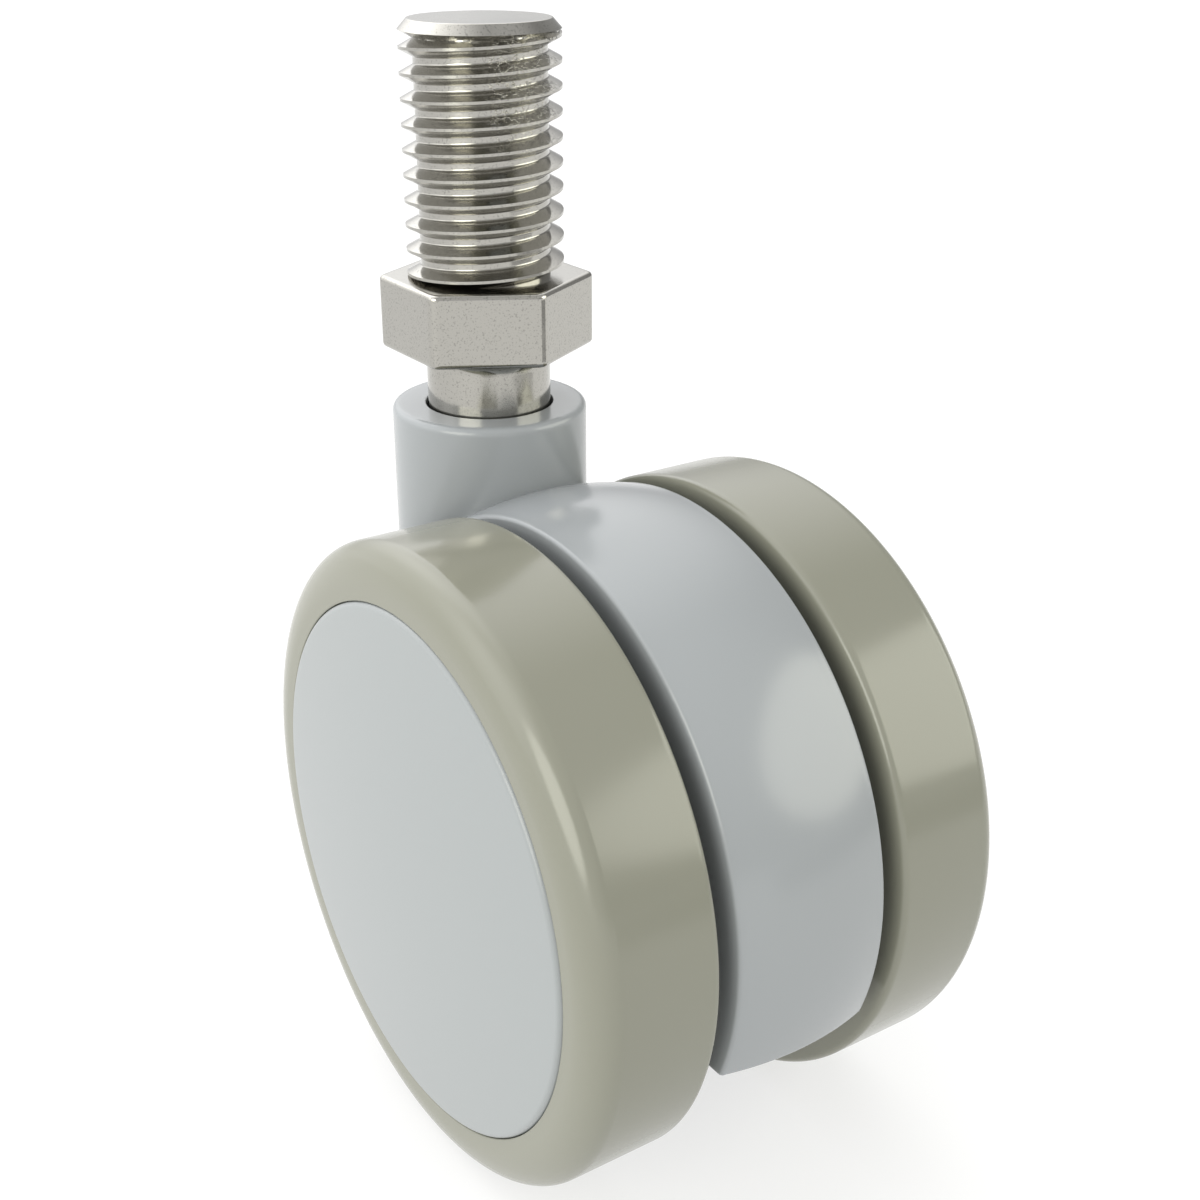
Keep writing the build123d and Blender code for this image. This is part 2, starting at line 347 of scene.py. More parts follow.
def hexagon_rings():
    """Rings from the hexagon's bottom face to its top face, at z = 0, the rims rounded by quarter circles."""
    flats_turn = turn_round + math.pi / 6
    turn = np.linspace(0, math.pi / 2, CORNER_STEPS + 1)
    drawn_in = hex_edge * (1 - np.cos(turn))
    rise = hex_edge * (1 - np.sin(turn))
    middle = hex_edge + hex_edge * GUARD
    inset = np.concatenate([[middle], drawn_in[::-1], [0, 0], drawn_in, [middle]])
    from_face = np.concatenate([[0], rise[::-1], [hex_edge * (1 + GUARD)]])
    height = np.concatenate([from_face - hex_height, -from_face[::-1]])
    return hexagon_radius(flats_turn, inset[:, None]), np.repeat(height[:, None], len(turn_round), axis=1)


print("the hexagon takes", len(hexagon_rings()[0]), "rings")

# %% Sizes of the tip, the collar and the spindle
stem_foot = stem_low.z
tip_radius = 4.375 * MM
tip_rim = 0.1 * MM
foot_margin = 0.05 * MM
cone_radius = 5.0 * MM
cone_height = 0.4 * MM
cone_fillet = 0.7 * MM
collar_radius = 3.97 * MM
collar_foot = -18.7 * MM
collar_edge = 0.2 * MM
spindle_radius = 3.0 * MM
spindle_edge = 0.3 * MM
print("stem", round((stem_top - stem_foot) / MM, 2), "mm long")


# %% Build the stem
def flat_rings(outline):
    """Plain round rings from (radius, height) points."""
    radius = np.repeat(outline[:, :1], len(turn_round), axis=1)
    height = np.repeat(outline[:, 1:], len(turn_round), axis=1)
    return radius, height


spindle_rings = flat_rings(rounded_outline([
    (0, stem_foot, 0),
    (spindle_radius, stem_foot, spindle_edge),
    (spindle_radius, collar_foot, 0),
    (collar_radius, collar_foot, collar_edge),
    (collar_radius, -hex_height - cone_height, cone_fillet),
    (cone_radius, -hex_height, 0),
], closed=False))
tip_rings = flat_rings(rounded_outline([
    (thread_crest, stem_top - tip_height, 0),
    (tip_radius, stem_top, tip_rim),
    (0, stem_top, 0),
], closed=False))
margin_rings = (thread_foot[None] + foot_margin, np.zeros((1, len(turn_round))))
stem_parts = [spindle_rings, hexagon_rings(), margin_rings, thread_rings(), tip_rings]
stem_radius = np.concatenate([part[0] for part in stem_parts])
stem_height = np.concatenate([part[1] for part in stem_parts])
stem_across = stem_radius * np.cos(turn_round)
stem_along = stem_radius * np.sin(turn_round)
stem_grid = np.stack([stem_across, stem_along, stem_height], axis=-1)
stem_surface = ring_grid(stem_grid, False, closed_rings=False)
stem = piece_from("steel_stem", [stem_surface], "stem", ["threaded_stem"])


# %% [markdown]
# The housing is one glossy moulding. Its boss is a plain round post with a rounded top rim and a bore that
# the collar goes into with a little room. The hood between the wheels is a slice of a ball round the axle. It
# meets the boss in a crisp line, so the two can be separate closed shapes that run into each other. A Boolean
# would join them, but it leaves long thin faces that spoil the gloss.

# %% The boss
boss_top = housing_high.z
boss_radius = -housing_low.x
boss_rim = 0.45 * MM
boss_foot = -28.5 * MM
boss_foot_chamfer = 1.2 * MM
boss_foot_edge = 0.5 * MM
bore_radius = 4.12 * MM
bore_rim = 0.1 * MM
bore_depth = 18.2 * MM
boss_surface = lathe_about_stem(rounded_outline([
    (0, boss_foot, 0),
    (boss_radius - boss_foot_chamfer, boss_foot, boss_foot_edge),
    (boss_radius, boss_foot + boss_foot_chamfer, boss_foot_edge),
    (boss_radius, boss_top, boss_rim),
    (bore_radius, boss_top, bore_rim),
    (bore_radius, boss_top - bore_depth, 0),
    (0, boss_top - bore_depth, 0),
], closed=False), closed=False)
print("boss radius", round(boss_radius / MM, 2), "mm, height", round((boss_top - boss_foot) / MM, 2), "mm")

# %% The hood's section
hood_radius = housing_high.x - axle_x
hood_half = 5.25 * MM
hood_wall = 3.1 * MM
hood_rim = 0.32 * MM
hood_inner_edge = 0.2 * MM
STEPS_ACROSS_HOOD = 33


def hood_profile():
    """(Radius, place along Y) points round the hood's section.

    The outside is a ball, radius = sqrt(ball radius squared - place squared). Round rims lead to flat sides,
    and the inside is round too.
    """
    rim_place = hood_half - hood_rim
    place = np.linspace(-rim_place, rim_place, STEPS_ACROSS_HOOD)
    top = np.stack([np.sqrt(hood_radius ** 2 - place ** 2), place], axis=-1)
    edge_radius = math.sqrt(hood_radius ** 2 - hood_half ** 2)
    lean = math.atan2(rim_place, top[-1, 0])
    turn = np.linspace(lean, math.pi / 2, CORNER_STEPS + 2)[1:]
    centre = np.array([top[-1, 0] - hood_rim * math.cos(lean), rim_place])
    rim = centre + hood_rim * np.stack([np.cos(turn), np.sin(turn)], axis=-1)
    inner = hood_radius - hood_wall
    side = np.array([
        [edge_radius - 2 * hood_rim, hood_half],
        [inner + hood_inner_edge, hood_half],
        [inner, hood_half - hood_inner_edge],
    ])
    right = np.concatenate([rim, side])
    left = right[::-1] * [1, -1]
    return np.concatenate([top, right, left])


print("hood radius", round(hood_radius / MM, 2), "mm, section of", len(hood_profile()), "points")

# %% The hood
hood_end = housing_low.z
STEPS_ROUND_HOOD = 121


def hood_surface():
    """Carries the section round the axle, from inside the boss over the top to the level end at the front.

    A point of radius r starts where x = 0 and ends where z is the level of the end, so its turn runs from
    acos(-axle x / r) to asin((end - axle z) / r). Rings at turn t of the end's rounding are drawn in by
    hood_rim * (1 - cos t) and lie hood_rim * (1 - sin t) above the end.
    """
    section = hood_profile()
    round_end = np.linspace(0, math.pi / 2, CORNER_STEPS + 1)
    level = hood_end + hood_rim * (1 - np.sin(round_end))
    inset = hood_rim * (1 - np.cos(round_end))
    start_turn = np.arccos(-axle_x / section[:, 0])
    end_turn = np.arcsin((level[0] - axle_z) / section[:, 0])
    share = np.linspace(0, 1, STEPS_ROUND_HOOD)[:, None]
    turn = start_turn + (end_turn - start_turn) * share
    rows = np.stack([
        axle_x + section[:, 0] * np.cos(turn),
        np.repeat(section[None, :, 1], len(turn), axis=0),
        axle_z + section[:, 0] * np.sin(turn),
    ], axis=-1)
    drawn = section[None] + inset[1:, None, None] * inward_normals(section)[None]
    end_level = level[1:, None]
    ends = np.stack([
        axle_x + np.sqrt(drawn[..., 0] ** 2 - (end_level - axle_z) ** 2),
        drawn[..., 1],
        np.repeat(end_level, len(section), axis=1),
    ], axis=-1)
    vertices, faces = ring_grid(np.concatenate([rows, ends]), False)
    return vertices, faces, end_faces(len(vertices), len(section))


print("hood of", len(hood_surface()[0]), "points")

# %% [markdown]
# Under the hood the moulding has a web in the middle, ribs that leave the axle's hub like spokes, and one rib
# back to the boss. They are seen from behind and from below only. They could be left as the frame has them,
# but the whole housing is one node, so they are made again here as plates with rounded rims.

# %% The hub and the web inside the hood
axle_radius = 3 * MM
hub_radius = 6.2 * MM
hub_edge = 0.3 * MM
small_edge = 0.1 * MM
web_half = 2.0 * MM
web_into_hood = 1.0 * MM
web_reach = hood_radius - hood_wall + web_into_hood
web_back_x = -boss_radius + boss_foot_chamfer + 2 * MM
web_back_top = boss_foot + 3 * MM
web_back_foot = boss_foot + 0.3 * MM
web_foot = hood_end + hood_rim
STEPS_ROUND_WEB = 49


def web_outline():
    """(x, z) outline of the web: an arc about the axle over the top, then down inside the boss.

    From the boss's foot it slopes to a point under the axle and runs level to the front.
    """
    front = math.asin((web_foot - axle_z) / web_reach)
    back = math.acos(-axle_x / web_reach)
    turn = np.linspace(front, back, STEPS_ROUND_WEB)
    arc = np.stack([axle_x + web_reach * np.cos(turn), axle_z + web_reach * np.sin(turn)], axis=-1)
    rest = [[web_back_x, web_back_top], [web_back_x, web_back_foot], [axle_x, web_foot]]
    return np.concatenate([arc, rest])


hub_surface = lathe_about_axle(rounded_outline([
    (axle_radius, -hood_half, 0),
    (hub_radius, -hood_half, hub_edge),
    (hub_radius, hood_half, hub_edge),
    (axle_radius, hood_half, 0),
]))
web_surface = plate_across(web_outline(), web_half, small_edge)
print("web reaches", round(web_reach / MM, 2), "mm from the axle")

# %% The ribs inside the hood
rib_half_thickness = 0.8 * MM
rib_half_depth = hood_half - 0.9 * MM
rib_start = hub_radius * 0.7
rib_turns = (80, 38, -4)
boss_rib_turn = 172
boss_rib_end = axle_x - boss_radius / 2


def rib_outline(degrees, start, end):
    """(x, z) outline of a straight rib that leaves the axle at this turn, from radius start to radius end."""
    along = np.array([math.cos(math.radians(degrees)), math.sin(math.radians(degrees))])
    across = np.array([-along[1], along[0]]) * rib_half_thickness
    near = np.array([axle_x, axle_z]) + along * start
    far = np.array([axle_x, axle_z]) + along * end
    return np.array([near - across, far - across, far + across, near + across])


rib_outlines = [rib_outline(turn, rib_start, web_reach) for turn in rib_turns]
rib_outlines.append(rib_outline(boss_rib_turn, rib_start, boss_rib_end))
rib_surfaces = [plate_across(outline, rib_half_depth, small_edge) for outline in rib_outlines]
print("ribs:", len(rib_surfaces))

# %% Build the housing
housing_surfaces = [boss_surface, hood_surface(), hub_surface, web_surface, *rib_surfaces]
housing = piece_from("moulded_housing", housing_surfaces, "housing", ["housing"])


# %% [markdown]
# Each wheel is a hard core with a soft tread moulded round it and a cap snapped into its side. All three are
# round about the axle, so each is one outline turned round it. The tread's outer shoulder is a quarter
# ellipse, flatter along the axle than across it, and its inner edge has a small radius that shows as a thin
# bright line. A torus or a bevelled cylinder would give a shoulder that is a quarter circle, which is not
# what the real tread has.

# %% The tread
tread_start = tyre_low.y
tread_face = tyre_high.y
tread_edge = 0.4 * MM
shoulder_width = 1.7 * MM
shoulder_height = 2.7 * MM
rim_radius = (core_high.x - core_low.x) / 2
cap_radius = (cap_high.x - cap_low.x) / 2
cap_seat = 13.1 * MM
mouth_radius = cap_radius + 0.03 * MM
mouth_rim = 0.08 * MM
STEPS_ROUND_SHOULDER = 25


def tread_outline():
    """Outline of the tread's section.

    At turn t of the shoulder, radius = foot + height * cos t and place = face - width * (1 - sin t).
    """
    turn = np.linspace(0, math.pi / 2, STEPS_ROUND_SHOULDER)
    foot = wheel_radius - shoulder_height
    shoulder_radius = foot + shoulder_height * np.cos(turn)
    shoulder_place = tread_face - shoulder_width * (1 - np.sin(turn))
    shoulder = np.stack([shoulder_radius, shoulder_place], axis=-1)
    inside = rounded_outline([
        (foot, tread_face, 0),
        (mouth_radius, tread_face, mouth_rim),
        (mouth_radius, cap_seat, 0),
        (rim_radius, cap_seat, 0),
        (rim_radius, tread_start, small_edge),
        (wheel_radius, tread_start, tread_edge),
        (wheel_radius, tread_face - shoulder_width, 0),
    ], closed=False)
    return np.concatenate([inside[1:-1], shoulder])


print("cap radius", round(cap_radius / MM, 2), "mm in a rim of", round(rim_radius / MM, 2), "mm")

# %% The cap's disc
cap_top = cap_high.y
cap_edge = 14.7 * MM
cap_rim = 0.4 * MM
STEPS_OVER_CAP = 41


def cap_outline():
    """Outline of the cap: the top of a shallow ball, a rounded rim and a flat back.

    A dome of height h over a radius r belongs to a ball of radius (r squared + h squared) / (2 h).
    """
    dome = cap_top - cap_edge
    ball = (cap_radius ** 2 + dome ** 2) / (2 * dome)
    radius = np.linspace(0, cap_radius - cap_rim, STEPS_OVER_CAP)
    top = np.stack([radius, cap_top - ball + np.sqrt(ball ** 2 - radius ** 2)], axis=-1)
    lean = math.asin(top[-1, 0] / ball)
    turn = np.linspace(math.pi / 2 - lean, 0, CORNER_STEPS + 3)[1:]
    centre = np.array([cap_radius - cap_rim, top[-1, 1] - cap_rim])
    rim = centre + cap_rim * np.stack([np.cos(turn), np.sin(turn)], axis=-1)
    back = np.array([[cap_radius, cap_seat], [0, cap_seat]])
    return np.concatenate([top, rim, back])


print("cap dome", round((cap_top - cap_edge) / MM, 2), "mm high")

# %% The cap's lugs
rim_thickness = 1.5 * MM
cap_lug_foot = cap_low.y
lug_gap = 0.1 * MM
lug_half_width = 2.5 * MM
lug_thickness = 1.4 * MM
lug_into_cap = 0.3 * MM
LUG_TURNS = (0, 90, 180, 270)


def lug_surface(degrees):
    """A snap lug under the cap: a small block that stands just inside the rim's inner wall, at this turn."""
    face = math.sqrt((rim_radius - rim_thickness - lug_gap) ** 2 - lug_half_width ** 2)
    back = face - lug_thickness
    block = np.array([
        [back, -lug_half_width],
        [face, -lug_half_width],
        [face, lug_half_width],
        [back, lug_half_width],
    ])
    turn = math.radians(degrees)
    turned = block @ np.array([[math.cos(turn), math.sin(turn)], [-math.sin(turn), math.cos(turn)]])
    half = (cap_seat + lug_into_cap - cap_lug_foot) / 2
    vertices, faces, ends = plate_across(turned + [axle_x, axle_z], half, small_edge)
    return vertices + [0, cap_lug_foot + half, 0], faces, ends


print("lugs reach", round((cap_seat - cap_lug_foot) / MM, 2), "mm under the cap")

# %% The core
rim_start = tread_start + 0.3 * MM
wheel_hub_radius = 5.9 * MM
wheel_hub_bore = 3.95 * MM
wheel_hub_start = core_low.y
wheel_hub_end = wheel_hub_start + 5.0 * MM
wheel_web_top = rim_start + 1.6 * MM
core_edge = 0.2 * MM
core_fillet = 0.3 * MM
core_rib_turns = (45, 135, 225, 315)
core_rib_start = wheel_hub_radius * 0.9
core_rib_end = rim_radius - rim_thickness / 2
core_rib_top = min(cap_lug_foot, wheel_hub_end) - 0.5 * MM
core_rib_half = (core_rib_top - rim_start) / 2 - 0.1 * MM


def core_surfaces():
    """The core's hub, web and rim as one turned outline, and its four ribs."""
    turned = lathe_about_axle(rounded_outline([
        (wheel_hub_bore, wheel_hub_start, 0),
        (wheel_hub_radius, wheel_hub_start, core_edge),
        (wheel_hub_radius, rim_start, core_fillet),
        (rim_radius, rim_start, small_edge),
        (rim_radius, cap_seat, small_edge),
        (rim_radius - rim_thickness, cap_seat, small_edge),
        (rim_radius - rim_thickness, wheel_web_top, core_edge),
        (wheel_hub_radius, wheel_web_top, core_edge),
        (wheel_hub_radius, wheel_hub_end, core_edge),
        (wheel_hub_bore, wheel_hub_end, 0),
    ]))
    surfaces = [turned]
    for degrees in core_rib_turns:
        outline = rib_outline(degrees, core_rib_start, core_rib_end)
        vertices, faces, ends = plate_across(outline, core_rib_half, small_edge)
        surfaces.append((vertices + [0, core_rib_top - core_rib_half, 0], faces, ends))
    return surfaces


print("core ribs", round(2 * core_rib_half / MM, 2), "mm deep")


# %% Build both wheels
def on_side(surface, sign):
    """The same surface on the left or the right side of the castor."""
    return (surface[0] * [1, sign, 1], *surface[1:])


treads = {}
caps = {}
cores = {}
for side, sign in SIDES.items():
    body = f"{side}_wheel"
    tread = [on_side(lathe_about_axle(tread_outline()), sign)]
    treads[side] = piece_from(f"{side}_soft_tread", tread, body, [f"{side}_tyre"])
    cap = [lathe_about_axle(cap_outline(), closed=False)] + [lug_surface(turn) for turn in LUG_TURNS]
    cap = [on_side(surface, sign) for surface in cap]
    caps[side] = piece_from(f"{side}_domed_cap", cap, body, [f"{side}_wheel_cap"])
    core = [on_side(surface, sign) for surface in core_surfaces()]
    cores[side] = piece_from(f"{side}_core", core, body, [f"{side}_wheel_core"])


# %% [markdown]
# No real surface is quite even. Mouldings carry a faint grain, and some shine a little more in some places
# than in others. A picture could bring that, but it would need to be laid round each piece. One shader group
# makes both from noise in the piece's own coordinates, and each material takes it with its own scale, so
# nothing slides when a wheel turns.

# %% Wire a shader group
def new_group(name, inputs, outputs):
    """An empty group with (label, kind, value) inputs and outputs that are plain numbers.

    Returns the group and its two inner ends: where values come in and where results go out.
    """
    group = bpy.data.node_groups.new(name, "ShaderNodeTree")
    for label, kind, value in inputs:
        socket = group.interface.new_socket(name=label, in_out="INPUT", socket_type=kind)
        socket.default_value = value
    for label in outputs:
        group.interface.new_socket(name=label, in_out="OUTPUT", socket_type="NodeSocketFloat")
    given = group.nodes.new("NodeGroupInput")
    result = group.nodes.new("NodeGroupOutput")
    return group, given, result


def noise_at(tree, place, scale, detail):
    """Noise over this place, at this scale, with this many finer layers."""
    noise = tree.nodes.new("ShaderNodeTexNoise")
    noise.inputs["Detail"].default_value = detail
    tree.links.new(place, noise.inputs["Vector"])
    tree.links.new(scale, noise.inputs["Scale"])
    return noise.outputs["Fac"]


# %% A shader group for uneven gloss and grain
NUMBER = "NodeSocketFloat"
GRAIN_DETAIL = 3.0
PATCH_DETAIL = 2.0
PATCH_LOW = 0.35
PATCH_HIGH = 0.65


def make_grain_group():
    """Puts out a height for bump and a roughness that wanders between two values."""
    group, given, result = new_group("moulded_grain", (
        ("Grain Scale", NUMBER, 2500.0),
        ("Patch Scale", NUMBER, 90.0),
        ("Low Roughness", NUMBER, 0.2),
        ("High Roughness", NUMBER, 0.3),
    ), ("Height", "Roughness"))
    links = group.links
    place = group.nodes.new("ShaderNodeTexCoord").outputs["Object"]
    grain = noise_at(group, place, given.outputs["Grain Scale"], GRAIN_DETAIL)
    patches = noise_at(group, place, given.outputs["Patch Scale"], PATCH_DETAIL)
    wander = group.nodes.new("ShaderNodeMapRange")
    wander.clamp = False
    wander.inputs["From Min"].default_value = PATCH_LOW
    wander.inputs["From Max"].default_value = PATCH_HIGH
    links.new(patches, wander.inputs["Value"])
    links.new(given.outputs["Low Roughness"], wander.inputs["To Min"])
    links.new(given.outputs["High Roughness"], wander.inputs["To Max"])
    links.new(grain, result.inputs["Height"])
    links.new(wander.outputs["Result"], result.inputs["Roughness"])
    return group


grain_group = make_grain_group()
print("grain group has", len(grain_group.nodes), "nodes")


# %% A moulded or metal finish from the group
def grained_finish(name, colour, grain_scale, grain_depth, patch_scale, roughness, metallic=0.0):
    """A Principled material whose fine relief and gloss come from the grain group.

    A gloss that is even, with both values of roughness the same, is set on the shader's own socket.
    """
    material = bpy.data.materials.new(name)
    material.use_nodes = True
    tree = material.node_tree
    shader = tree.nodes["Principled BSDF"]
    shader.inputs["Base Color"].default_value = (*colour, 1)
    shader.inputs["Metallic"].default_value = metallic
    grain = tree.nodes.new("ShaderNodeGroup")
    grain.node_tree = grain_group
    grain.inputs["Grain Scale"].default_value = grain_scale
    grain.inputs["Patch Scale"].default_value = patch_scale
    low, high = roughness
    grain.inputs["Low Roughness"].default_value = low
    grain.inputs["High Roughness"].default_value = high
    bump = tree.nodes.new("ShaderNodeBump")
    bump.inputs["Strength"].default_value = 1.0
    bump.inputs["Distance"].default_value = grain_depth
    tree.links.new(grain.outputs["Height"], bump.inputs["Height"])
    tree.links.new(bump.outputs["Normal"], shader.inputs["Normal"])
    if low == high:
        shader.inputs["Roughness"].default_value = low
    else:
        tree.links.new(grain.outputs["Roughness"], shader.inputs["Roughness"])
    return material


# %% [markdown]
# The stem's plating is not clean. Small dark pits are spread over it, and high on the thread, towards the
# front, a patch of it has flaked. Both could be painted, but noise that is pushed through a narrow range
# gives such specks by itself. The flakes are kept to their place by two masks, one for the side that the
# surface is on and one for its height.

# %% Masks for shaders
def narrowed(tree, value, low, high):
    """The value, smoothly from 0 at low to 1 at high."""
    narrow = tree.nodes.new("ShaderNodeMapRange")
    narrow.interpolation_type = "SMOOTHSTEP"
    narrow.inputs["From Min"].default_value = low
    narrow.inputs["From Max"].default_value = high
    tree.links.new(value, narrow.inputs["Value"])
    return narrow.outputs["Result"]


def worked_out(tree, operation, first, second):
    """Two values joined by a Math node, such as MULTIPLY or SUBTRACT."""
    joined = tree.nodes.new("ShaderNodeMath")
    joined.operation = operation
    tree.links.new(first, joined.inputs[0])
    tree.links.new(second, joined.inputs[1])
    return joined.outputs["Value"]


def facing_mask(tree, parts, wedge, low, high):
    """1 on the side of the swivel axis that the wedge's direction points to, 0 on the others.

    It follows the cosine between that direction and the level direction from the axis to the point.
    """
    level = tree.nodes.new("ShaderNodeCombineXYZ")
    tree.links.new(parts.outputs["X"], level.inputs["X"])
    tree.links.new(parts.outputs["Y"], level.inputs["Y"])
    outward = tree.nodes.new("ShaderNodeVectorMath")
    outward.operation = "NORMALIZE"
    tree.links.new(level.outputs["Vector"], outward.inputs[0])
    facing = tree.nodes.new("ShaderNodeVectorMath")
    facing.operation = "DOT_PRODUCT"
    tree.links.new(outward.outputs["Vector"], facing.inputs[0])
    tree.links.new(wedge, facing.inputs[1])
    return narrowed(tree, facing.outputs["Value"], low, high)


# %% A shader group for the plating's flaws
VECTOR = "NodeSocketVector"
PIT_DETAIL = 3.0
PIT_RANGE = (0.55, 0.68)
FLAKE_DETAIL = 5.0
FLAKE_RANGE = (0.5, 0.56)
WEDGE_RANGE = (0.75, 0.92)
FADE_AT_FOOT = 0.003
FADE_AT_TOP = 0.0004


def make_plating_group():
    """Puts out masks of the small dark pits in the plating and of the flaky patch on the thread.

    The flaky patch is kept to the wedge of the thread that faces the Wedge direction, between the Lowest and
    the Highest height.
    """
    group, given, result = new_group("plating_marks", (
        ("Pit Scale", NUMBER, 8000.0),
        ("Flake Scale", NUMBER, 2200.0),
        ("Lowest", NUMBER, 0.0075),
        ("Highest", NUMBER, 0.0146),
        ("Wedge", VECTOR, (0.985, 0.174, 0.0)),
    ), ("Pits", "Flakes"))
    place = group.nodes.new("ShaderNodeTexCoord").outputs["Object"]
    parts = group.nodes.new("ShaderNodeSeparateXYZ")
    group.links.new(place, parts.inputs["Vector"])
    height = parts.outputs["Z"]
    above_foot = worked_out(group, "SUBTRACT", height, given.outputs["Lowest"])
    below_top = worked_out(group, "SUBTRACT", given.outputs["Highest"], height)
    patch = facing_mask(group, parts, given.outputs["Wedge"], *WEDGE_RANGE)
    patch = worked_out(group, "MULTIPLY", patch, narrowed(group, above_foot, 0.0, FADE_AT_FOOT))
    patch = worked_out(group, "MULTIPLY", patch, narrowed(group, below_top, 0.0, FADE_AT_TOP))
    pit_noise = noise_at(group, place, given.outputs["Pit Scale"], PIT_DETAIL)
    flake_noise = noise_at(group, place, given.outputs["Flake Scale"], FLAKE_DETAIL)
    flakes = worked_out(group, "MULTIPLY", narrowed(group, flake_noise, *FLAKE_RANGE), patch)
    group.links.new(narrowed(group, pit_noise, *PIT_RANGE), result.inputs["Pits"])
    group.links.new(flakes, result.inputs["Flakes"])
    return group


plating_group = make_plating_group()
print("plating group has", len(plating_group.nodes), "nodes")

# %% The plated steel
MICRON = 0.000001
PIT_SHADE = 0.72
FLAKE_HEIGHT = 40 * MICRON
MIX_COLOUR_A = 6
MIX_COLOUR_B = 7
MIX_COLOUR_RESULT = 2


def plated_finish(name, colour, roughness):
    """A grained metal finish with darker pits and raised flakes from the plating group."""
    material = grained_finish(name, colour, grain_scale=2600, grain_depth=MICRON, patch_scale=300,
                              roughness=roughness, metallic=1.0)
    tree = material.node_tree
    shader = tree.nodes["Principled BSDF"]
    marks = tree.nodes.new("ShaderNodeGroup")
    marks.node_tree = plating_group
    tint = tree.nodes.new("ShaderNodeMix")
    tint.data_type = "RGBA"
    tint.inputs[MIX_COLOUR_A].default_value = (*colour, 1)
    tint.inputs[MIX_COLOUR_B].default_value = (*[value * PIT_SHADE for value in colour], 1)
    tree.links.new(marks.outputs["Pits"], tint.inputs["Factor"])
    tree.links.new(tint.outputs[MIX_COLOUR_RESULT], shader.inputs["Base Color"])
    grain_bump = shader.inputs["Normal"].links[0].from_node
    flake_bump = tree.nodes.new("ShaderNodeBump")
    flake_bump.inputs["Distance"].default_value = FLAKE_HEIGHT
    tree.links.new(marks.outputs["Flakes"], flake_bump.inputs["Height"])
    tree.links.new(grain_bump.outputs["Normal"], flake_bump.inputs["Normal"])
    tree.links.new(flake_bump.outputs["Normal"], shader.inputs["Normal"])
    return material


stem_steel = plated_finish("nickel_plated_steel", (0.4, 0.39, 0.36), roughness=(0.12, 0.18))

# %% [markdown]
# The housing is the glossiest of the mouldings, the caps are satin, and the soft treads are an olive grey
# with a shine that varies a little. The pieces inside have plain finishes of their own kind: matt plastic,
# zinc plated steel, dark spring steel and pale bearing plastic. Each colour could be one grey for all, but
# the eye tells the pieces apart by their small differences.

# %% The finishes of the mouldings
housing_plastic = grained_finish("glossy_grey_housing", (0.268, 0.283, 0.295), grain_scale=3500,
                                 grain_depth=MICRON, patch_scale=120, roughness=(0.2, 0.2))
cap_plastic = grained_finish("satin_grey_cap", (0.262, 0.278, 0.284), grain_scale=4000,
                             grain_depth=2 * MICRON, patch_scale=120, roughness=(0.28, 0.28))
tread_plastic = grained_finish("olive_grey_tread", (0.199, 0.2, 0.162), grain_scale=4000,
                               grain_depth=MICRON, patch_scale=90, roughness=(0.16, 0.19))
core_plastic = grained_finish("matt_grey_core", (0.36, 0.37, 0.37), grain_scale=3000,
                              grain_depth=3 * MICRON, patch_scale=90, roughness=(0.45, 0.55))

# %% The finishes of the pieces inside
axle_steel = grained_finish("zinc_plated_steel", (0.6, 0.6, 0.58), grain_scale=2500, grain_depth=MICRON,
                            patch_scale=300, roughness=(0.25, 0.35), metallic=1.0)
spring_steel = grained_finish("dark_spring_steel", (0.2, 0.2, 0.21), grain_scale=2500, grain_depth=MICRON,
                              patch_scale=300, roughness=(0.3, 0.4), metallic=1.0)
bearing_plastic = grained_finish("pale_bearing_plastic", (0.8, 0.79, 0.74), grain_scale=3000,
                                 grain_depth=MICRON, patch_scale=90, roughness=(0.35, 0.45))


# %% Give every piece its finish
def give(material, *pieces):
    """Puts this material on the pieces in place of any that they have."""
    for piece in pieces:
        piece.data.materials.clear()
        piece.data.materials.append(material)
    print(material.name, "on", len(pieces), "pieces")


give(housing_plastic, housing)
give(cap_plastic, *caps.values())
give(tread_plastic, *treads.values())
give(core_plastic, *cores.values())
give(stem_steel, stem)
give(axle_steel, nodes["axle"], nodes["left_outer_washer"], nodes["right_outer_washer"],
     nodes["thrust_disc"])
give(spring_steel, nodes["stem_snap_ring"], nodes["left_axle_clip"], nodes["right_axle_clip"])
give(bearing_plastic, nodes["pivot_bush"], nodes["left_wheel_bush"], nodes["right_wheel_bush"],
     nodes["left_inner_washer"], nodes["right_inner_washer"])


# %% [markdown]
# The castor is shown on a pale floor that glows a little, like a light table, which keeps its shadow faint.
# A white floor lit from above could be as bright, but its shadow under the wheels would be dark.

# %% Floor
FLOOR_COLOUR = 0.28
FLOOR_GLOW = 0.66
FLOOR_RADIUS = 3.0
FLOOR_CORNERS = 64


def mesh_object(name, vertices, faces):
    """An object in the scene from points and faces."""
    mesh = bpy.data.meshes.new(name)
    mesh.from_pydata(vertices, [], faces)
    made = bpy.data.objects.new(name, mesh)
    bpy.context.scene.collection.objects.link(made)
    return made


